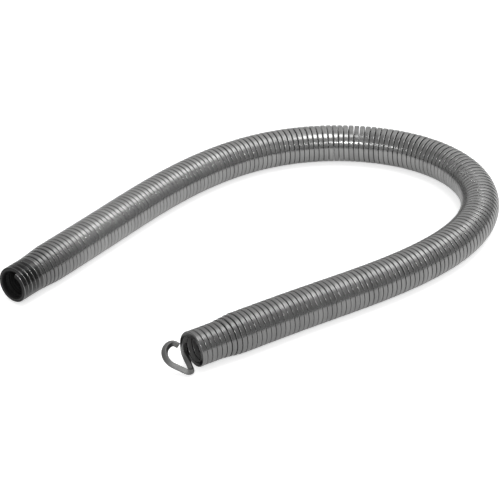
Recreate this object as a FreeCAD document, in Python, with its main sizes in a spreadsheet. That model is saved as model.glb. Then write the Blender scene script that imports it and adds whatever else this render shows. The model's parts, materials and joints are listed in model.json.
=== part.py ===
import FreeCAD, Part
import math
import os

import Sketcher
from FreeCAD import Placement, Rotation, Vector

# A close-wound steel spring that slides inside a tube and stops it kinking as it is bent.
# It is one length of square wire. So that the spring can bend, the wire is cut into short coil
# sections, and each section hinges on the next where their coils touch.
# Frame: millimetres, +Z up, the spring lies on Z = 0 and the origin is the middle of its footprint.

DIMENSIONS = {
    "coil_diameter": 20.0,  # outside, on the full-size coils
    "wire_width": 2.5,  # along the spring
    "wire_depth": 2.5,  # across the spring
    "coil_pitch": 2.7,  # with the spring straight and closed
    "cut_gap": 0.3,  # between the wire ends of two sections
    "section_turns": 4.0,
    "section_count": 43.0,
    # Each end: small neck coils, then a taper. Whole turns, so that they join at one phase.
    "plain_neck_diameter": 18.0,
    "plain_neck_turns": 5.0,
    "plain_taper_turns": 5.0,
    "plain_full_turns": 1.18,  # full-size coils between the taper and the first cut
    "pull_neck_diameter": 17.7,
    "pull_neck_turns": 5.0,
    "pull_taper_turns": 4.0,
    "plain_end_heading": 54.0,  # degrees from +X, looking along the spring from its plain end
    # The pull eye, measured from the coil's axis where the last coil ends
    "eye_shoulder_bend": 3.0,  # radius
    "eye_shoulder_drop": 4.9,
    "eye_heel_bend": 1.8,  # radius
    "eye_heel_across": -6.8,
    "eye_heel_drop": 8.7,
    "eye_heel_reach": 4.3,
    "eye_loop_radius": 7.4,
    "eye_loop_across": 4.4,
    "eye_loop_drop": 3.9,
    "eye_loop_reach": 3.9,
    "eye_tip_bend": 2.6,  # radius of the inward curl at the wire's tip
    "eye_tip_angle": 10.0,  # degrees short of a full circle, where the loop ends and the curl starts
    "eye_tip_turn": 85.0,  # degrees that the curl goes on for
}

# How fast the centreline turns, in degrees per 100 mm, left positive, at distances in
# millimetres from the plain end. Between two stations the rate changes evenly.
BEND_STATIONS = {
    "plain_tip": (6.0, 1.7),
    "plain_arm": (74.0, 2.2),
    "plain_shoulder": (156.0, -34.0),
    "crown_start": (190.0, -59.7),
    "crown_rise": (246.0, -66.7),
    "crown_top": (302.0, -97.0),
    "crown_fall": (354.0, -83.9),
    "crown_finish": (406.0, -36.9),
    "pull_arm": (490.0, 6.5),
    "pull_tip": (550.0, -2.6),
}

SHEET_NAME = "dimensions"
PARTS_FOLDER = "parts"


def make_sheet(doc):
    """The spreadsheet that holds every driving dimension, one alias a row."""
    sheet = doc.addObject("Spreadsheet::Sheet", SHEET_NAME)
    cells = dict(DIMENSIONS)
    for station, (distance, rate) in BEND_STATIONS.items():
        cells[station + "_distance"] = distance
        cells[station + "_rate"] = rate
    for row, (alias, value) in enumerate(cells.items(), start=1):
        sheet.set(f"A{row}", alias)
        sheet.set(f"B{row}", str(value))
        sheet.setAlias(f"B{row}", alias)
    doc.recompute()
    return sheet


def origin_item(body, role):
    """One of the body's own origin planes or axes."""
    return [item for item in body.Origin.OriginFeatures if item.Role == role][0]


def bound_constraint(sketch, name, formula, *where):
    """Adds a distance constraint that follows the spreadsheet."""
    index = sketch.addConstraint(Sketcher.Constraint(*where, 1.0))
    sketch.renameConstraint(index, name)
    sketch.setExpression("Constraints." + name, formula)


def wire_section(body, name, diameter_alias, offset_formula=None):
    """The wire's square cut, in the plane of X and Z, out at the coil's radius."""
    sketch = body.newObject("Sketcher::SketchObject", name)
    sketch.AttachmentSupport = [(origin_item(body, "XZ_Plane"), "")]
    sketch.MapMode = "FlatFace"
    if offset_formula:
        sketch.setExpression("AttachmentOffset.Base.y", offset_formula)
    outer = DIMENSIONS[diameter_alias] / 2
    inner = outer - DIMENSIONS["wire_depth"]
    half = DIMENSIONS["wire_width"] / 2
    corners = [
        Vector(inner, -half, 0),
        Vector(outer, -half, 0),
        Vector(outer, half, 0),
        Vector(inner, half, 0),
    ]
    for side, corner in enumerate(corners):
        line = Part.LineSegment(corner, corners[(side + 1) % len(corners)])
        sketch.addGeometry(line, False)
    for side in range(len(corners)):
        joined = ("Coincident", side, 2, (side + 1) % len(corners), 1)
        sketch.addConstraint(Sketcher.Constraint(*joined))
    for side, kind in enumerate(("Horizontal", "Vertical", "Horizontal", "Vertical")):
        sketch.addConstraint(Sketcher.Constraint(kind, side))
    axis = -1
    radius = f"{SHEET_NAME}.{diameter_alias} / 2"
    bound_constraint(sketch, "outer_radius", radius, "DistanceX", axis, 1, 0, 2)
    bound_constraint(sketch, "depth", SHEET_NAME + ".wire_depth", "DistanceX", 0, 1, 0, 2)
    bound_constraint(sketch, "width", SHEET_NAME + ".wire_width", "DistanceY", 1, 1, 1, 2)
    half_width = SHEET_NAME + ".wire_width / 2"
    bound_constraint(sketch, "centred", half_width, "DistanceY", 0, 1, axis, 1)
    return sketch


def add_coils(body, name, sketch, turns_formula, growth_formula=None):
    """Winds the sketch round the body's Z axis, right-handed, at the closed pitch."""
    body.Document.recompute()
    coils = body.newObject("PartDesign::AdditiveHelix", name)
    coils.Profile = sketch
    coils.ReferenceAxis = (origin_item(body, "Z_Axis"), [""])
    coils.Mode = "height-turns-growth" if growth_formula else "pitch-turns-angle"
    coils.LeftHanded = False
    coils.Reversed = False
    coils.setExpression("Turns", turns_formula)
    if growth_formula:
        coils.setExpression("Height", f"{SHEET_NAME}.coil_pitch * ({turns_formula})")
        coils.setExpression("Growth", growth_formula)
    else:
        coils.setExpression("Pitch", SHEET_NAME + ".coil_pitch")
    return coils


def gap_turns_formula(diameter_alias):
    """The share of a turn that one cut takes out of the wire, as a spreadsheet formula."""
    wire_radius = f"({SHEET_NAME}.{diameter_alias} / 2 - {SHEET_NAME}.wire_depth / 2)"
    return f"{SHEET_NAME}.cut_gap / (2 * pi * {wire_radius})"


def coil_section(doc, name):
    """A few closed coils, the same for every section between the two ends."""
    body = doc.addObject("PartDesign::Body", name)
    body.Label = name
    sketch = wire_section(body, name + "_wire", "coil_diameter")
    turns = f"{SHEET_NAME}.section_turns - {gap_turns_formula('coil_diameter')}"
    add_coils(body, name + "_coils", sketch, turns)
    return body


def tapered_body(doc, name):
    """A neck of small coils, then a taper that opens to full size, starting at the outer end."""
    body = doc.addObject("PartDesign::Body", name)
    body.Label = name
    side = name.removesuffix("_end")
    neck_diameter = side + "_neck_diameter"
    neck_turns = f"{SHEET_NAME}.{side}_neck_turns"
    taper_turns = f"{SHEET_NAME}.{side}_taper_turns"
    neck = wire_section(body, name + "_neck_wire", neck_diameter)
    add_coils(body, name + "_neck", neck, neck_turns)
    taper_start = f"{SHEET_NAME}.coil_pitch * {neck_turns}"
    taper = wire_section(body, name + "_taper_wire", neck_diameter, taper_start)
    growth = f"({SHEET_NAME}.coil_diameter - {SHEET_NAME}.{neck_diameter}) / 2 / {taper_turns}"
    return body, taper, taper_turns, growth


def plain_end(doc):
    """The open end, whose wire starts at a square-cut tip."""
    body, taper, taper_turns, growth = tapered_body(doc, "plain_end")
    add_coils(body, "plain_end_taper", taper, taper_turns, growth)
    start = f"{SHEET_NAME}.coil_pitch * ({SHEET_NAME}.plain_neck_turns + {taper_turns})"
    last = wire_section(body, "plain_end_full_wire", "coil_diameter", start)
    half_gap = f"{gap_turns_formula('coil_diameter')} / 2"
    add_coils(body, "plain_end_full", last, f"{SHEET_NAME}.plain_full_turns - {half_gap}")
    return body


def pull_end(doc):
    """The other end, built from the coil that runs on into the pull eye back to its cut."""
    body, taper, taper_turns, growth = tapered_body(doc, "pull_end")
    half_gap = f"{gap_turns_formula('coil_diameter')} / 2"
    add_coils(body, "pull_end_taper", taper, f"{taper_turns} - {half_gap}", growth)
    return body


def rounded_path(corners, radii):
    """Lines through the corners, with an arc of the given radius in each inner corner."""
    edges = []
    start = corners[0]
    for corner, following, radius in zip(corners[1:-1], corners[2:], radii):
        towards = (corner - start).normalize()
        away = (following - corner).normalize()
        reach = radius * math.tan(towards.getAngle(away) / 2)
        first = corner - towards * reach
        last = corner + away * reach
        inside = (away - towards).normalize()
        middle = corner + inside * (math.hypot(radius, reach) - radius)
        edges.append(Part.makeLine(start, first))
        edges.append(Part.Arc(first, middle, last).toShape())
        start = last
    edges.append(Part.makeLine(start, corners[-1]))
    return edges


def eye_path(sheet):
    """The middle of the eye's wire: down, back across the coil's mouth, then round the loop."""
    wire_radius = (sheet.pull_neck_diameter - sheet.wire_depth) / 2
    start = Vector(wire_radius, 0, 0)
    shoulder = Vector(wire_radius, sheet.eye_shoulder_drop, 0)
    heel = Vector(sheet.eye_heel_across, sheet.eye_heel_drop, sheet.eye_heel_reach)
    centre = Vector(sheet.eye_loop_across, sheet.eye_loop_drop, sheet.eye_loop_reach)
    radius = sheet.eye_loop_radius

    # The loop lies in the plane of the coil's axis and the line from the heel to its centre.
    outward = Vector(0, 0, 1)
    across = Vector(centre.x - heel.x, centre.y - heel.y, 0).normalize()

    def on_circle(middle, size, angle):
        return middle + across * (size * math.cos(angle)) + outward * (size * math.sin(angle))

    from_centre = heel - centre
    heel_angle = math.atan2(from_centre.dot(outward), from_centre.dot(across))
    loop_start = heel_angle - math.acos(radius / from_centre.Length)
    loop_end = math.radians(sheet.eye_tip_angle)
    loop_middle = (loop_start + loop_end) / 2
    loop_first = on_circle(centre, radius, loop_start)
    loop_last = on_circle(centre, radius, loop_end)
    loop = Part.Arc(loop_first, on_circle(centre, radius, loop_middle), loop_last).toShape()

    curl_centre = on_circle(centre, radius - sheet.eye_tip_bend, loop_end)
    curl_turn = math.radians(sheet.eye_tip_turn)
    curl_middle = on_circle(curl_centre, sheet.eye_tip_bend, loop_end - curl_turn / 2)
    curl_last = on_circle(curl_centre, sheet.eye_tip_bend, loop_end - curl_turn)
    curl = Part.Arc(loop_last, curl_middle, curl_last).toShape()

    bends = [sheet.eye_shoulder_bend, sheet.eye_heel_bend]
    return rounded_path([start, shoulder, heel, loop_first], bends) + [loop, curl]


def wire_outline(sheet, middle):
    """The same square as the coils, as a wire across the path at its start."""
    right = Vector(sheet.wire_depth / 2, 0, 0)
    up = Vector(0, 0, sheet.wire_width / 2)
    steps = (right - up, right + up, up - right, -right - up, right - up)
    return Part.makePolygon([middle + step for step in steps])


def pull_eye(doc, sheet):
    """The loop bent out of the last coil, which a hook or cord pulls the spring out by."""
    path = Part.Wire(eye_path(sheet))
    outline = wire_outline(sheet, path.Vertexes[0].Point)
    eye = doc.addObject("Part::Feature", "pull_eye")
    eye.Label = "pull_eye"
    eye.Shape = path.makePipeShell([outline], True, False)
    return eye


def bend_rate(sheet, distance):
    """Degrees of turn per 100 mm at a distance along the centreline, between the stations."""
    stations = [
        (getattr(sheet, name + "_distance"), getattr(sheet, name + "_rate"))
        for name in BEND_STATIONS
    ]
    if distance <= stations[0][0]:
        return stations[0][1]
    for (before, rate_before), (after, rate_after) in zip(stations, stations[1:]):
        if distance <= after:
            share = (distance - before) / (after - before)
            return rate_before + share * (rate_after - rate_before)
    return stations[-1][1]


def piece_lengths(sheet):
    """Closed length of every piece from the plain end to the pull end."""
    plain_turns = sheet.plain_neck_turns + sheet.plain_taper_turns + sheet.plain_full_turns
    pull_turns = sheet.pull_neck_turns + sheet.pull_taper_turns
    turns = [plain_turns] + [sheet.section_turns] * int(sheet.section_count) + [pull_turns]
    return [sheet.coil_pitch * count for count in turns]


def lay_out(sheet):
    """Walks the spring as it lies: a (start, heading) for each piece, then the last coil's end.
    Two pieces hinge at the coil's edge on the side they bend towards, where the coils touch, so
    the coils part on the other side. Headings and turns are in radians, left positive.
    """
    lengths = piece_lengths(sheet)
    radius = sheet.coil_diameter / 2
    up = Vector(0, 0, 1)
    position = Vector(0, 0, radius)
    heading = math.radians(sheet.plain_end_heading)
    travelled = 0.0
    pieces = []
    for length, following in zip(lengths, lengths[1:] + [None]):
        pieces.append((position, heading))
        along = Vector(math.cos(heading), math.sin(heading), 0)
        position = position + along * length
        if following is None:
            break
        travelled += length
        rate = math.radians(bend_rate(sheet, travelled)) / 100
        turn = rate * (length + following) / 2 / (1 - abs(rate) * radius)
        pivot = position + up.cross(along) * math.copysign(radius, turn)
        swing = Rotation(up, math.degrees(turn))
        position = pivot + swing.multVec(position - pivot)
        heading += turn
        travelled += abs(turn) * radius
    return pieces, position


def footprint_middle(sheet, pieces, last):
    """The middle of the box round the spring, on the floor, from the walk's own start."""
    radius = sheet.coil_diameter / 2
    box = FreeCAD.BoundBox()
    ends = [start for start, heading in pieces[1:]] + [last]
    for (start, heading), end in zip(pieces, ends):
        left = Vector(-math.sin(heading), math.cos(heading), 0) * radius
        for corner in (start + left, start - left, end + left, end - left):
            box.add(corner)
    eye = Part.Wire(eye_path(sheet))
    eye.Placement = facing(last, pieces[-1][1])
    eye_box = eye.BoundBox
    eye_box.enlarge(sheet.wire_depth / 2)
    box.add(eye_box)
    return Vector(box.Center.x, box.Center.y, 0)


def facing(position, heading, backwards=False):
    """Places a coil's own axes: X to the right of the spring, Z along it or back along it."""
    along = Vector(math.cos(heading), math.sin(heading), 0)
    right = Vector(along.y, -along.x, 0)
    if backwards:
        along = along * -1
    return Placement(position, Rotation(right, along.cross(right), along, "ZXY"))


def along_thread(sheet, turns):
    """Moves a coil on along its own thread by a share of a turn."""
    return Placement(Vector(0, 0, sheet.coil_pitch * turns), Rotation(Vector(0, 0, 1), 360 * turns))


def build_spring():
    """Makes the document and every piece in its place."""
    doc = FreeCAD.newDocument("tube_bending_spring")
    sheet = make_sheet(doc)
    pieces, last = lay_out(sheet)
    origin = footprint_middle(sheet, pieces, last)
    pieces = [(start - origin, heading) for start, heading in pieces]
    last = last - origin
    wire_radius = (sheet.coil_diameter - sheet.wire_depth) / 2
    half_gap = sheet.cut_gap / (2 * math.pi * wire_radius) / 2

    # Every cut is on the spring's right, so the tip is turned back by the plain end's own turns.
    tip = plain_end(doc)
    tip_turn = Rotation(Vector(0, 0, 1), -360 * sheet.plain_full_turns)
    tip.Placement = facing(*pieces[0]) * Placement(Vector(), tip_turn)

    for number in range(1, int(sheet.section_count) + 1):
        section = coil_section(doc, f"coil_{number:02d}")
        section.Placement = facing(*pieces[number]) * along_thread(sheet, half_gap)

    handle = pull_end(doc)
    handle.Placement = facing(last, pieces[-1][1], backwards=True)
    eye = pull_eye(doc, sheet)
    eye.Placement = facing(last, pieces[-1][1])
    doc.recompute()
    return doc


def check(doc):
    """Stops the build if any object failed or any piece isn't sound."""
    for item in doc.Objects:
        if "Invalid" in item.State or "Error" in item.State:
            raise RuntimeError(f"{item.Label} failed: {item.State}")
    for piece in sub_parts(doc):
        if piece.Shape.isNull() or not piece.Shape.isValid() or len(piece.Shape.Solids) != 1:
            raise RuntimeError(f"{piece.Label} isn't one valid solid")


def sub_parts(doc):
    """The bodies and the eye: each is one node."""
    eye = doc.getObject("pull_eye")
    return [item for item in doc.Objects if item.TypeId == "PartDesign::Body"] + [eye]


def export(doc):
    """One STEP file a node, named after its label."""
    os.makedirs(PARTS_FOLDER, exist_ok=True)
    for piece in sub_parts(doc):
        piece.Shape.exportStep(os.path.join(PARTS_FOLDER, piece.Label + ".step"))


document = build_spring()
check(document)
export(document)
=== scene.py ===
import json
import math
from collections import namedtuple

import bpy
import numpy as np
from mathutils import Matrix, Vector

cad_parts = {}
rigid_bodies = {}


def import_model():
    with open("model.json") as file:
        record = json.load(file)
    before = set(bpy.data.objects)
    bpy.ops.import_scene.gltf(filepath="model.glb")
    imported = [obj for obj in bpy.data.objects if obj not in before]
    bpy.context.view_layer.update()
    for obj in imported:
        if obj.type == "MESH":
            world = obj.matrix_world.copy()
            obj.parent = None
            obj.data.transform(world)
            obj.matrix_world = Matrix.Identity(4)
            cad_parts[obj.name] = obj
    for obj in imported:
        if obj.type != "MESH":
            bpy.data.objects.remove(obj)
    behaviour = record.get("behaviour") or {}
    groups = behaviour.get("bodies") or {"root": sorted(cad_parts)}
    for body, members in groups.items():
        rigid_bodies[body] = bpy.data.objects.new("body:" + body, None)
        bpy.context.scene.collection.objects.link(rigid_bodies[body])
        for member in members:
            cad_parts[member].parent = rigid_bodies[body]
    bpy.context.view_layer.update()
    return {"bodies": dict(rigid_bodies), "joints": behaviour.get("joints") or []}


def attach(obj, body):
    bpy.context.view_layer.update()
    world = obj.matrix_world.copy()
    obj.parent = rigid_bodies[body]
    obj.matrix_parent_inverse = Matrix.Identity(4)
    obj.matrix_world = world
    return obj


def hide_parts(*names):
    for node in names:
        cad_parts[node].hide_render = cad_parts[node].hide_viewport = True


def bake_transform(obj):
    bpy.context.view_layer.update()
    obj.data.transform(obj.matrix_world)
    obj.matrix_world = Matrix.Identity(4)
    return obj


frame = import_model()

# The spring is one continuous wire. Each visible stretch of it runs from the middle of one CAD
# section to the middle of the next and bends evenly across the hinge between them, so the coils
# part evenly instead of opening at the cuts. Lengths are in metres, angles in radians.
MM = 0.001
COIL_RADIUS = 10.0 * MM
WIRE = 2.5 * MM
WIRE_WIDTH = 2.64 * MM  # along the spring, where closed coils all but touch
WIRE_CORNER = 0.5 * MM
COIL_PITCH = 2.7 * MM
SECTION_TURNS = 4.0
PLAIN_NECK_TURNS = 5.0
PLAIN_NECK_RADIUS = 9.0 * MM
PLAIN_TAPER_TURNS = 5.0
PLAIN_FULL_TURNS = 1.18
PULL_NECK_TURNS = 5.0
PULL_NECK_RADIUS = 8.85 * MM
PULL_TAPER_TURNS = 4.0

# The pull eye, measured from the axis where the last coil ends: right, down and along
EYE_SHOULDER_BEND = 3.0 * MM
EYE_SHOULDER_DROP = 4.9 * MM
EYE_HEEL_BEND = 1.8 * MM
EYE_HEEL = (-6.8 * MM, 8.7 * MM, 4.3 * MM)
EYE_CENTRE = (4.4 * MM, 3.9 * MM, 3.9 * MM)
EYE_LOOP_RADIUS = 7.4 * MM
EYE_TIP_BEND = 2.6 * MM
EYE_TIP_ANGLE = math.radians(10)
EYE_TIP_TURN = math.radians(78)
EYE_TIP_LENGTH = 0.8 * MM
EYE_ROLL = math.radians(45)
EYE_ROLL_LENGTH = 9.0 * MM
EYE_STEP = 0.35 * MM

RINGS_PER_TURN = 44
CORNER_STEPS = 3
LEAST_BEND = 1e-5  # stands in for a bend of nothing, where the even bend has no radius

# How far the coils wander: waves across and along the spring, each with its size, its radians a turn
# and its start
WAVES_ACROSS = ((0.035 * MM, 1.13, 0.0), (0.03 * MM, 2.71, 1.0))
WAVES_ALONG = ((0.03 * MM, 0.83, 2.0), (0.01 * MM, 3.37, 0.0))
WANDER_FADE_TURNS = 2.0
LOOSE_TURNS = (14.2, 17.1)  # where two coils stand a little further apart
LOOSE_SHIFT = 0.13 * MM
LOOSE_SHARPNESS = 2.0

# Where the finish, the painted shade and the painted glints change. Depth into the wire is 0 at its outside
# face and 1 at the bore.
DARK_TURNS = 4.6  # coils from the plain tip that are blackened
DULL_TURNS = 20.0  # coils from the plain tip that are dull at all
PULL_DULL_TURNS = 75.0  # the same at the pull tip
PULL_DULLEST_TURNS = 8.0
PLAIN_DULLNESS = 0.5
PULL_DULLNESS = 0.32
BORE_SHADE_TURNS = (10.0, 24.0)  # coils from the plain tip over which the bore's painted black shade fades
BLACK_AT_SIDES = 0.78  # how black the plain tip's coils are at the sides
BLACK_SHADING_UPWARDS = 0.28  # and how much more on top: painted shading, black deepest on top and paler underneath
# Depths of the light edge on the black coils, partly wear and partly a painted glint
WEAR_AND_GLINT_START = (0.004, 0.03)
WEAR_AND_GLINT_END = (0.06, 0.1)
GROOVE_DEPTH = (0.07, 0.25)  # painted shade in the grooves comes in over these depths
# Depths over which the bore's painted black shade comes in
BORE_SHADE_DEPTH = (0.4, 0.7)
BORE_DEPTH = (0.9, 1.0)

# Grains are noise cells a metre along the wire and round it. The tone adds up all three, in shares.
SCRATCH_GRAIN = (90.0, 9000.0, 0.0)
PATCH_GRAIN = (25.0, 350.0, 0.0)
COIL_GRAIN = (6.0, 0.0, 0.0)
SCRATCH_SHARE, PATCH_SHARE, COIL_SHARE = 0.35, 0.4, 0.25
TONE_RANGE = (0.3, 0.7)
SCRATCH_HEIGHT = 0.02 * MM
SCRATCH_STRENGTH = 0.25

STEEL_DULL = (0.21, 0.21, 0.21, 1)
STEEL_BRIGHT = (0.38, 0.38, 0.375, 1)
STEEL_ROUGHNESS = (0.27, 0.17)  # where dull and where bright
EYE_ROUGHER = 0.25
BORE_METALLIC = 0.15
# Painted shade in the grooves between coils: its share, its share at the bore and its colour
GROOVE_SHADE_SHARE = 0.85
GROOVE_SHADE_AT_BORE = 0.3
GROOVE_SHADE = (0.04, 0.04, 0.04, 1)
BLACKENED = (0.012, 0.012, 0.012, 1)
OILY_BLACK = (0.06, 0.06, 0.06, 1)
# Colour of that edge, partly wear and partly a painted glint
WEAR_AND_GLINT_EDGE = (0.4, 0.4, 0.4, 1)

FLOOR_TONES = ((0.88, 0.88, 0.88, 1), (0.92, 0.92, 0.92, 1))
FLOOR_ROUGHNESS = 0.9
FLOOR_RADIUS = 8.0
FLOOR_SIDES = 64
FLOOR_DROP = 0.05 * MM
FLOOR_GLOW = 0.2  # as the steel reflects it
FLOOR_GLOW_SEEN = 0.6  # as the camera sees it, so that the shadow stays pale

Hinge = namedtuple("Hinge", "pivot heading bend before after turn")
Rings = namedtuple("Rings", "centre out along turn reach weight")
Lamp = namedtuple("Lamp", "name azimuth elevation width height radiance")
Patch = namedtuple("Patch", "azimuth elevation core edge glow")

# The studio: area lamps aimed at the middle of the spring, and walls that glow a little, with brighter
# patches from a core to a faded edge. Angles are in degrees, azimuth 0 is the camera's side.
LAMP_DISTANCE = 1.3
LAMPS = (
    Lamp("overhead", 43, 75.5, 0.44, 0.44, 5.0),
    Lamp("camera_lamp", -4, 34.5, 0.4, 0.06, 20.0),
    Lamp("camera_strip", -10, 34.5, 1.7, 0.05, 7.0),
)
WALL_GLOW = 0.42
WALL_PATCHES = (
    Patch(100, 70, 3, 17, 0.9),
    Patch(125, 58, 3, 17, 0.9),
    Patch(138, 45, 3, 17, 1.0),
    Patch(135, 50, 5, 50, 0.3),
    Patch(180, 35, 10, 55, 0.3),
    Patch(30, 42, 5, 40, 0.15),
)

CAMERA_AIM = (-3.35 * MM, 2.83 * MM, 0.26 * MM)
CAMERA_ELEVATION = 29.74  # degrees
CAMERA_DISTANCE = 1.0152
CAMERA_LENS = 143.7


# ---- the line that the spring follows, read from the joints ----

def spring_bodies():
    """The bodies in order, from the plain end to the pull end."""
    sections = sorted(name for name in frame["bodies"] if name.startswith("coil_"))
    return ["plain_end"] + sections + ["pull_end"]


def direction(heading):
    return np.stack([np.cos(heading), np.sin(heading), 0 * heading], -1)


def left_of(heading):
    return np.stack([-np.sin(heading), np.cos(heading), 0 * heading], -1)


def read_hinges():
    """Each hinge with the heading of the section before it. A bend is positive to the left."""
    order = spring_bodies()
    by_pair = {frozenset((joint["parent"], joint["child"])): joint for joint in frame["joints"]}
    pivots, bends = [], []
    for before, after in zip(order, order[1:]):
        joint = by_pair[frozenset((before, after))]
        outward = 1 if joint["child"] == after else -1
        straight = -math.radians(joint["range_deg"][0])
        pivots.append(np.array(joint["pos_m"]))
        bends.append(straight * outward * joint["axis"][2])
    length = SECTION_TURNS * COIL_PITCH
    step = pivots[1] - pivots[0]
    sideways = COIL_RADIUS * (math.copysign(1, bends[1]) - math.copysign(1, bends[0]))
    heading = math.atan2(step[1], step[0]) - math.atan2(sideways, length) - bends[0]
    first_turn = PLAIN_NECK_TURNS + PLAIN_TAPER_TURNS + PLAIN_FULL_TURNS
    hinges = []
    for number, (pivot, bend) in enumerate(zip(pivots, bends)):
        turn = first_turn + SECTION_TURNS * number
        hinges.append(Hinge(pivot, heading, bend, order[number], order[number + 1], turn))
        heading += bend
    return hinges


def bent_line(hinge, turn):
    """Axis point, heading and blend weight at each turn number, on the even bend at a hinge."""
    share = np.clip(0.5 + (turn - hinge.turn) / SECTION_TURNS, 0, 1)
    length = SECTION_TURNS * COIL_PITCH
    side = math.copysign(1, hinge.bend)
    bend = side * max(abs(hinge.bend), LEAST_BEND)
    start = hinge.pivot - direction(np.float64(hinge.heading)) * length / 2
    chord = length * np.sin(share * bend / 2) / math.tan(bend / 2)
    edge = start + direction(hinge.heading + share * bend / 2) * chord[:, None]
    heading = hinge.heading + share * bend
    return edge - left_of(heading) * side * COIL_RADIUS, heading, share


def straight_line(hinge, turn, beyond):
    """The same on an end piece, which stays straight. Beyond is true on the pull side."""
    heading = np.full(len(turn), hinge.heading + (hinge.bend if beyond else 0.0))
    side = math.copysign(1, hinge.bend)
    base = hinge.pivot - left_of(heading) * side * COIL_RADIUS
    return base + direction(heading) * ((turn - hinge.turn) * COIL_PITCH)[:, None], heading, 0 * turn


def coil_radius(turn, last_turn):
    """Outside radius of the coils: full size, drawn down to a neck at each end."""
    plain = np.clip((turn - PLAIN_NECK_TURNS) / PLAIN_TAPER_TURNS, 0, 1)
    pull = np.clip((last_turn - PULL_NECK_TURNS - turn) / PULL_TAPER_TURNS, 0, 1)
    plain_radius = PLAIN_NECK_RADIUS + (COIL_RADIUS - PLAIN_NECK_RADIUS) * plain
    pull_radius = PULL_NECK_RADIUS + (COIL_RADIUS - PULL_NECK_RADIUS) * pull
    return np.minimum(plain_radius, pull_radius)


def waves(turn, shapes):
    return sum(size * np.sin(turn * rate + start) for size, rate, start in shapes)


def unevenness(turn, last_turn):
    """Small wanders of the coils, across and along the spring, that fade out at the eye."""
    fade = np.clip((last_turn - turn) / WANDER_FADE_TURNS, 0, 1)
    along = waves(turn, WAVES_ALONG)
    for loose in LOOSE_TURNS:
        offset = (turn - loose) * LOOSE_SHARPNESS
        along = along + LOOSE_SHIFT * offset * np.exp(-offset * offset / 2)
    return waves(turn, WAVES_ACROSS) * fade, along * fade


def coil_rings(line, turn, first_hinge, last_turn):
    """Cross-sections of the wire at the given turns of a stretch of the spring's line."""
    axis_point, heading, weight = line
    phase = 2 * math.pi * (turn - first_hinge.turn)
    right = -left_of(heading)
    down = np.array([0.0, 0.0, -1.0])
    out = right * np.cos(phase)[:, None] + down * np.sin(phase)[:, None]
    along = direction(heading)
    across, shift = unevenness(turn, last_turn)
    radius = coil_radius(turn, last_turn) - WIRE / 2 - np.abs(across)
    centre = axis_point + out * radius[:, None] + along * shift[:, None]
    reach = turn * 2 * math.pi * (COIL_RADIUS - WIRE / 2)
    return Rings(centre, out, along, turn, reach, weight)


# ---- the pull eye ----

def arc(centre, first, second, radius, start, end):
    """Points on an arc, from the first direction towards the second, about a step apart."""
    count = max(3, round(abs(end - start) * radius / EYE_STEP))
    angles = np.linspace(start, end, count)[:, None]
    return centre + radius * (first * np.cos(angles) + second * np.sin(angles))


def round_corner(before, corner, after, radius):
    """The arc of this radius that rounds off a corner."""
    towards = (corner - before) / np.linalg.norm(corner - before)
    away = (after - corner) / np.linalg.norm(after - corner)
    inward = away - towards * towards.dot(away)
    inward /= np.linalg.norm(inward)
    angle = math.acos(towards.dot(away))
    centre = corner - towards * radius * math.tan(angle / 2) + inward * radius
    return arc(centre, -inward, towards, radius, 0.0, angle)


def fill(first, last):
    """Points strictly between two, about a step apart."""
    count = max(2, round(np.linalg.norm(last - first) / EYE_STEP))
    shares = np.linspace(0, 1, count + 1)[1:-1, None]
    return first + shares * (last - first)


def eye_line():
    """The middle of the eye's wire: down, back across the coil's mouth, then round the loop."""
    start = np.array([PULL_NECK_RADIUS - WIRE / 2, 0.0, 0.0])
    shoulder = start + np.array([0.0, EYE_SHOULDER_DROP, 0.0])
    heel, centre = np.array(EYE_HEEL), np.array(EYE_CENTRE)
    outward = np.array([0.0, 0.0, 1.0])
    across = (centre - heel) * (1, 1, 0)
    across /= np.linalg.norm(across)
    to_heel = heel - centre
    heel_angle = math.atan2(to_heel.dot(outward), to_heel.dot(across))
    loop_start = heel_angle - math.acos(EYE_LOOP_RADIUS / np.linalg.norm(to_heel))
    loop = arc(centre, across, outward, EYE_LOOP_RADIUS, loop_start, EYE_TIP_ANGLE)
    at_tip = across * math.cos(EYE_TIP_ANGLE) + outward * math.sin(EYE_TIP_ANGLE)
    curl_centre = centre + at_tip * (EYE_LOOP_RADIUS - EYE_TIP_BEND)
    curl = arc(curl_centre, across, outward, EYE_TIP_BEND, EYE_TIP_ANGLE, EYE_TIP_ANGLE - EYE_TIP_TURN)
    leaving = curl[-1] - curl[-2]
    tip = curl[-1] + leaving / np.linalg.norm(leaving) * EYE_TIP_LENGTH
    first_bend = round_corner(start, shoulder, heel, EYE_SHOULDER_BEND)
    second_bend = round_corner(shoulder, heel, loop[0], EYE_HEEL_BEND)
    parts = [start[None], fill(start, first_bend[0]), first_bend, fill(first_bend[-1], second_bend[0]),
             second_bend, fill(second_bend[-1], loop[0]), loop, curl[1:], fill(curl[-1], tip), tip[None]]
    return np.concatenate(parts)


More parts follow.
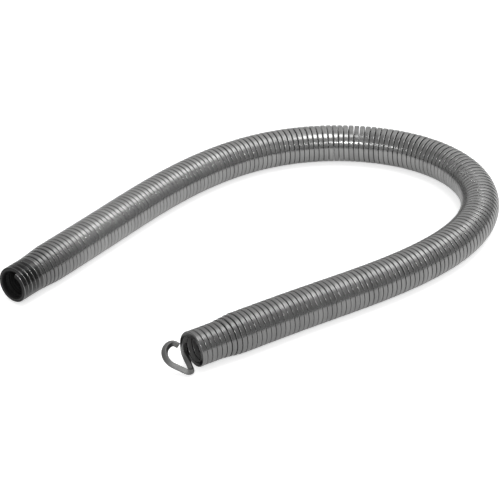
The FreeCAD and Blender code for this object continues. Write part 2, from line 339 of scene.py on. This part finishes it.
def eye_rings(hinges, last_turn):
    """Cross-sections of the eye's wire, carried along its bends and rolled onto an edge. They count
    as one turn beyond the last, which is how the steel knows the eye."""
    line, heading, _ = straight_line(hinges[-1], np.array([last_turn]), True)
    axes = np.stack([-left_of(heading)[0], np.array([0.0, 0.0, -1.0]), direction(heading)[0]])
    points = line[0] + eye_line() @ axes
    steps = np.diff(points, axis=0)
    steps /= np.linalg.norm(steps, axis=1)[:, None]
    tangents = np.concatenate([axes[1:2], (steps[1:] + steps[:-1]) / 2, steps[-1:]])
    tangents /= np.linalg.norm(tangents, axis=1)[:, None]
    travelled = np.concatenate([[0], np.cumsum(np.linalg.norm(np.diff(points, axis=0), axis=1))])
    out, outs = axes[0], []
    for tangent in tangents:
        out = out - tangent * tangent.dot(out)
        out = out / np.linalg.norm(out)
        outs.append(out)
    outs = np.array(outs)
    sides = np.cross(outs, tangents)
    roll = EYE_ROLL * np.clip((travelled - EYE_SHOULDER_DROP) / EYE_ROLL_LENGTH, 0, 1)[:, None]
    out = outs * np.cos(roll) + sides * np.sin(roll)
    side = sides * np.cos(roll) - outs * np.sin(roll)
    turn = np.full(len(points), last_turn + 1)
    reach = last_turn * 2 * math.pi * (COIL_RADIUS - WIRE / 2) + travelled
    return Rings(points, out, side, turn, reach, 0 * turn)


# ---- meshes ----

def wire_profile():
    """Points and normals round the rounded square wire, as (outwards, along)."""
    inset_out, inset_along = WIRE / 2 - WIRE_CORNER, WIRE_WIDTH / 2 - WIRE_CORNER
    points, normals = [], []
    for corner in range(4):
        middle = math.pi / 4 + corner * math.pi / 2
        corner_x = math.copysign(inset_out, math.cos(middle))
        corner_y = math.copysign(inset_along, math.sin(middle))
        for step in range(CORNER_STEPS + 1):
            angle = middle - math.pi / 4 + step * math.pi / 2 / CORNER_STEPS
            normal = (math.cos(angle), math.sin(angle))
            points.append((corner_x + WIRE_CORNER * normal[0], corner_y + WIRE_CORNER * normal[1]))
            normals.append(normal)
    return np.array(points), np.array(normals)


def wire_faces(count, around):
    """Quads between the cross-sections, and a cap on each end."""
    faces = []
    for ring in range(count - 1):
        here, there = ring * around, (ring + 1) * around
        for side in range(around):
            following = (side + 1) % around
            faces.append((here + side, there + side, there + following, here + following))
    faces.append(tuple(range(around)))
    faces.append(tuple(reversed(range((count - 1) * around, count * around))))
    return faces


def store(mesh, name, values):
    """Keeps a number for each point of the mesh, for the material to read."""
    attribute = mesh.attributes.new(name, "FLOAT", "POINT")
    attribute.data.foreach_set("value", values.ravel().astype(np.float32))


def store_wire_place(mesh, rings, points):
    """Distance along the wire, distance round it and turn number of each point."""
    girth = np.concatenate([[0], np.cumsum(np.linalg.norm(np.diff(points, axis=0), axis=1))])
    place = np.zeros((len(rings.centre), len(points), 3), np.float32)
    place[:, :, 0] = rings.reach[:, None]
    place[:, :, 1] = girth[None, :]
    place[:, :, 2] = rings.turn[:, None]
    mesh.attributes.new("wire_place", "FLOAT_VECTOR", "POINT").data.foreach_set("vector", place.ravel())


def wire_mesh(name, rings, material):
    """A closed wire through the rings, capped at both ends, smooth, with its wire coordinates."""
    points, normals = wire_profile()
    around = len(points)
    count = len(rings.centre)
    spots = (rings.centre[:, None, :] + rings.out[:, None, :] * points[None, :, :1]
             + rings.along[:, None, :] * points[None, :, 1:])
    facing = rings.out[:, None, :] * normals[None, :, :1] + rings.along[:, None, :] * normals[None, :, 1:]
    faces = wire_faces(count, around)
    mesh = bpy.data.meshes.new(name)
    mesh.from_pydata(spots.reshape(-1, 3).tolist(), [], faces)
    mesh.polygons.foreach_set("use_smooth", [True] * len(faces))
    mesh.normals_split_custom_set_from_vertices(facing.reshape(-1, 3).tolist())
    store_wire_place(mesh, rings, points)
    store(mesh, "wire_depth", np.broadcast_to((WIRE / 2 - points[:, 0]) / WIRE, (count, around)))
    # Painted shading: the plain tip's black is deepest on top and paler underneath
    black = np.clip(BLACK_AT_SIDES + BLACK_SHADING_UPWARDS * rings.out[:, 2], 0, 1)
    store(mesh, "wire_black_shading", np.repeat(black, around))
    mesh.materials.append(material)
    wire = bpy.data.objects.new(name, mesh)
    bpy.context.scene.collection.objects.link(wire)
    return wire


def turns_between(first, last):
    count = max(2, round((last - first) * RINGS_PER_TURN) + 1)
    return np.linspace(first, last, count)


# ---- materials ----

def new_material(name):
    material = bpy.data.materials.new(name)
    material.use_nodes = True
    nodes = material.node_tree.nodes
    nodes.clear()
    output = nodes.new("ShaderNodeOutputMaterial")
    shader = nodes.new("ShaderNodeBsdfPrincipled")
    material.node_tree.links.new(shader.outputs["BSDF"], output.inputs["Surface"])
    return material, shader


class Tree:
    """Short forms for adding nodes to one material."""

    def __init__(self, material):
        self.nodes = material.node_tree.nodes
        self.links = material.node_tree.links

    def put(self, socket, value):
        if hasattr(value, "is_output"):
            self.links.new(value, socket)
        else:
            socket.default_value = value

    def attribute(self, name, output):
        node = self.nodes.new("ShaderNodeAttribute")
        node.attribute_name = name
        return node.outputs[output]

    def math(self, operation, first, second=0.0, clamp=False):
        node = self.nodes.new("ShaderNodeMath")
        node.operation = operation
        node.use_clamp = clamp
        self.put(node.inputs[0], first)
        self.put(node.inputs[1], second)
        return node.outputs[0]

    def scaled(self, vector, factors):
        node = self.nodes.new("ShaderNodeVectorMath")
        node.operation = "MULTIPLY"
        self.put(node.inputs[0], vector)
        node.inputs[1].default_value = factors
        return node.outputs[0]

    def noise(self, vector, scale, detail=2.0, roughness=0.5):
        node = self.nodes.new("ShaderNodeTexNoise")
        self.put(node.inputs["Vector"], vector)
        node.inputs["Scale"].default_value = scale
        node.inputs["Detail"].default_value = detail
        node.inputs["Roughness"].default_value = roughness
        return node.outputs["Fac"]

    def span(self, value, low, high, to_low, to_high):
        node = self.nodes.new("ShaderNodeMapRange")
        self.put(node.inputs["Value"], value)
        for socket, number in zip(("From Min", "From Max", "To Min", "To Max"), (low, high, to_low, to_high)):
            node.inputs[socket].default_value = number
        return node.outputs["Result"]

    def mix(self, share, first, second):
        node = self.nodes.new("ShaderNodeMix")
        node.data_type = "RGBA"
        self.put(node.inputs["Factor"], share)
        self.put(node.inputs["A"], first)
        self.put(node.inputs["B"], second)
        return node.outputs["Result"]

    def bump(self, height, strength, distance):
        node = self.nodes.new("ShaderNodeBump")
        self.put(node.inputs["Height"], height)
        node.inputs["Strength"].default_value = strength
        node.inputs["Distance"].default_value = distance
        return node.outputs["Normal"]


def wear(tree, place):
    """Fine scratches along the wire, broader patches, and a tone that adds a change from coil to
    coil to both."""
    scratches = tree.noise(tree.scaled(place, SCRATCH_GRAIN), 1.0, 3.0, 0.6)
    patches = tree.noise(tree.scaled(place, PATCH_GRAIN), 1.0, 2.0)
    coils = tree.noise(tree.scaled(place, COIL_GRAIN), 1.0, 1.0)
    scratch_tone = tree.math("MULTIPLY", scratches, SCRATCH_SHARE)
    tone = tree.math("ADD", scratch_tone, tree.math("MULTIPLY", patches, PATCH_SHARE))
    tone = tree.math("ADD", tone, tree.math("MULTIPLY", coils, COIL_SHARE))
    return scratches, patches, tone


def bare_steel(tree, tone, depth, turn, last_turn):
    """Steel that is duller towards both ends, with painted shade in the grooves between coils."""
    bright = tree.mix(tree.span(tone, *TONE_RANGE, 0.0, 1.0), STEEL_DULL, STEEL_BRIGHT)
    plain = tree.span(turn, DARK_TURNS, DULL_TURNS, PLAIN_DULLNESS, 0.0)
    pull = tree.span(turn, last_turn - PULL_DULL_TURNS, last_turn - PULL_DULLEST_TURNS, 0.0, PULL_DULLNESS)
    faded = tree.mix(tree.math("MAXIMUM", plain, pull), bright, BLACKENED)
    # Painted shade in the grooves between coils, weaker towards the bore
    groove = tree.span(depth, *GROOVE_DEPTH, 0.0, 1.0)
    groove = tree.math("MULTIPLY", groove, tree.span(depth, *BORE_DEPTH, 1.0, GROOVE_SHADE_AT_BORE))
    return tree.mix(tree.math("MULTIPLY", groove, GROOVE_SHADE_SHARE), faded, GROOVE_SHADE)


def black_finish(tree, tone, depth):
    """The finish of the blackened coils: oily in places, and light along the outer edges, partly wear and
    partly a painted glint.
    """
    # Painted glints, partly real wear: a light line along each outer edge of the black coils
    start = tree.span(depth, *WEAR_AND_GLINT_START, 0.0, 1.0)
    edge = tree.math("MULTIPLY", start, tree.span(depth, *WEAR_AND_GLINT_END, 1.0, 0.0))
    edge = tree.math("MULTIPLY", edge, tree.span(tone, 0.4, 0.6, 0.3, 0.9))
    black = tree.mix(tree.span(tone, 0.45, 0.65, 0.0, 1.0), BLACKENED, OILY_BLACK)
    return tree.mix(edge, black, WEAR_AND_GLINT_EDGE)


def tip_blackening(tree, patches, turn):
    """How black the steel is at the plain tip, with an uneven border and with painted shading that makes it
    deepest on top.
    """
    fleck = tree.span(patches, 0.4, 0.6, -0.5, 0.5)
    dark = tree.span(tree.math("ADD", turn, fleck), DARK_TURNS - 0.5, DARK_TURNS + 0.5, 1.0, 0.0)
    return tree.math("MULTIPLY", dark, tree.attribute("wire_black_shading", "Fac"))


def steel_material(last_turn):
    """Drawn spring steel, blackened at the plain tip, with the bore there painted black as shade."""
    material, shader = new_material("spring_steel")
    tree = Tree(material)
    place = tree.attribute("wire_place", "Vector")
    depth = tree.attribute("wire_depth", "Fac")
    split = tree.nodes.new("ShaderNodeSeparateXYZ")
    tree.put(split.inputs[0], place)
    turn = split.outputs[2]

    scratches, patches, tone = wear(tree, place)
    # Painted shade: the bore at the plain end is made black, fading deeper along the spring
    inside = tree.span(depth, *BORE_SHADE_DEPTH, 0.0, 1.0)
    bore_shade = tree.math("MULTIPLY", inside, tree.span(turn, *BORE_SHADE_TURNS, 1.0, 0.0))
    dark = tree.math("MAXIMUM", tip_blackening(tree, patches, turn), bore_shade)
    bare = bare_steel(tree, tone, depth, turn, last_turn)
    tree.put(shader.inputs["Base Color"], tree.mix(dark, bare, black_finish(tree, tone, depth)))

    # The bore is dusty, so it scatters what light gets in, but at the plain end it is painted black as shade,
    # with no shine.
    outside_bore_shade = tree.math("SUBTRACT", 1.0, bore_shade)
    metal = tree.span(depth, *BORE_DEPTH, 1.0, BORE_METALLIC)
    tree.put(shader.inputs["Metallic"], tree.math("MULTIPLY", metal, outside_bore_shade))
    tree.put(shader.inputs["Specular IOR Level"], tree.math("MULTIPLY", outside_bore_shade, 0.5))

    at_eye = tree.span(turn, last_turn + 0.4, last_turn + 0.6, 0.0, EYE_ROUGHER)
    rough = tree.math("ADD", tree.span(tone, *TONE_RANGE, *STEEL_ROUGHNESS), at_eye)
    tree.put(shader.inputs["Roughness"], rough)
    tree.put(shader.inputs["Normal"], tree.bump(scratches, SCRATCH_STRENGTH, SCRATCH_HEIGHT))
    return material


# ---- pieces ----

def build_coils(hinges, last_turn, steel):
    """The stretches, one a hinge, the two straight ends and the eye."""
    half = SECTION_TURNS / 2
    first = hinges[0]

    turns = turns_between(0.0, first.turn - half)
    rings = coil_rings(straight_line(first, turns, False), turns, first, last_turn)
    tip = wire_mesh("plain_tip_wire", rings, steel)
    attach(tip, "plain_end")
    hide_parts("plain_end")

    for number, hinge in enumerate(hinges):
        turns = turns_between(hinge.turn - half, hinge.turn + half)
        rings = coil_rings(bent_line(hinge, turns), turns, first, last_turn)
        stretch = wire_mesh(f"wire_{number + 1:02d}", rings, steel)
        blend_rings(stretch)
        if hinge.after.startswith("coil_"):
            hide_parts(hinge.after)

    last = hinges[-1]
    turns = turns_between(last.turn + half, last_turn)
    rings = coil_rings(straight_line(last, turns, True), turns, first, last_turn)
    mouth = wire_mesh("pull_tip_wire", rings, steel)
    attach(mouth, "pull_end")
    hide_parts("pull_end")

    # The eye stands free, so no face of it is in a groove, and it gets none of the painted groove shade.
    eye = wire_mesh("pull_eye_wire", eye_rings(hinges, last_turn), steel)
    eye.data.attributes["wire_depth"].data.foreach_set("value", [0.0] * len(eye.data.vertices))
    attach(eye, "pull_end")
    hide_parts("pull_eye")


def blend_rings(stretch):
    """Bakes the stretch's placement into its mesh; it gets no blend weights."""
    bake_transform(stretch)


# ---- stage ----

def build_floor():
    """A pale round floor that glows a little."""
    mesh = bpy.data.meshes.new("floor")
    angles = [2 * math.pi * side / FLOOR_SIDES for side in range(FLOOR_SIDES)]
    rim = [(FLOOR_RADIUS * math.cos(angle), FLOOR_RADIUS * math.sin(angle), 0) for angle in angles]
    mesh.from_pydata(rim, [], [tuple(range(FLOOR_SIDES))])
    floor = bpy.data.objects.new("floor", mesh)
    floor.location.z = -FLOOR_DROP
    bpy.context.scene.collection.objects.link(floor)
    material, shader = new_material("pale_floor")
    tree = Tree(material)
    mottle = tree.noise(tree.nodes.new("ShaderNodeTexCoord").outputs["Object"], 6.0, 2.0)
    tree.put(shader.inputs["Base Color"], tree.mix(mottle, *FLOOR_TONES))
    tree.put(shader.inputs["Roughness"], FLOOR_ROUGHNESS)
    shader.inputs["Emission Color"].default_value = (1, 1, 1, 1)
    seen = tree.nodes.new("ShaderNodeLightPath").outputs["Is Camera Ray"]
    tree.put(shader.inputs["Emission Strength"], tree.span(seen, 0.0, 1.0, FLOOR_GLOW, FLOOR_GLOW_SEEN))
    mesh.materials.append(material)


def towards(azimuth, elevation):
    """A direction: azimuth 0 is the camera's side and 90 is the right, in degrees."""
    azimuth, elevation = math.radians(azimuth), math.radians(elevation)
    level = math.cos(elevation)
    return Vector((math.sin(azimuth) * level, -math.cos(azimuth) * level, math.sin(elevation)))


def area_light(lamp):
    data = bpy.data.lights.new(lamp.name, "AREA")
    data.shape = "RECTANGLE"
    data.size, data.size_y = lamp.width, lamp.height
    data.energy = lamp.radiance * math.pi * lamp.width * lamp.height
    light = bpy.data.objects.new(lamp.name, data)
    light.location = towards(lamp.azimuth, lamp.elevation) * LAMP_DISTANCE
    light.rotation_euler = (-light.location).to_track_quat("-Z", "Y").to_euler()
    bpy.context.scene.collection.objects.link(light)


def wall_patch(tree, compass, patch):
    """The glow that a patch of wall adds in each direction."""
    facing = tree.nodes.new("ShaderNodeVectorMath")
    facing.operation = "DOT_PRODUCT"
    tree.put(facing.inputs[0], compass)
    facing.inputs[1].default_value = towards(patch.azimuth, patch.elevation)
    edge, core = math.cos(math.radians(patch.edge)), math.cos(math.radians(patch.core))
    glow = tree.span(facing.outputs["Value"], edge, core, 0.0, patch.glow)
    glow.node.interpolation_type = "SMOOTHSTEP"
    return glow


def build_lights():
    """A softbox overhead, a lamp and a strip near the camera, and the soft glow of the walls."""
    for lamp in LAMPS:
        area_light(lamp)
    world = bpy.data.worlds.new("studio")
    world.use_nodes = True
    tree = Tree(world)
    compass = tree.nodes.new("ShaderNodeTexCoord").outputs["Generated"]
    glow = WALL_GLOW
    for patch in WALL_PATCHES:
        glow = tree.math("ADD", wall_patch(tree, compass, patch), glow)
    background = tree.nodes["Background"]
    background.inputs["Color"].default_value = (1, 1, 1, 1)
    tree.put(background.inputs["Strength"], glow)
    bpy.context.scene.world = world
    bpy.context.scene.view_settings.view_transform = "Standard"


def build_camera():
    """Seen from about 30 degrees above the floor, with a long lens."""
    data = bpy.data.cameras.new("camera")
    data.lens = CAMERA_LENS
    camera = bpy.data.objects.new("camera", data)
    camera.location = Vector(CAMERA_AIM) + towards(0, CAMERA_ELEVATION) * CAMERA_DISTANCE
    camera.rotation_euler = (math.radians(90 - CAMERA_ELEVATION), 0, 0)
    bpy.context.scene.collection.objects.link(camera)
    bpy.context.scene.camera = camera


spring_hinges = read_hinges()
end_turn = spring_hinges[-1].turn + PULL_TAPER_TURNS + PULL_NECK_TURNS
build_coils(spring_hinges, end_turn, steel_material(end_turn))
build_floor()
build_lights()
build_camera()
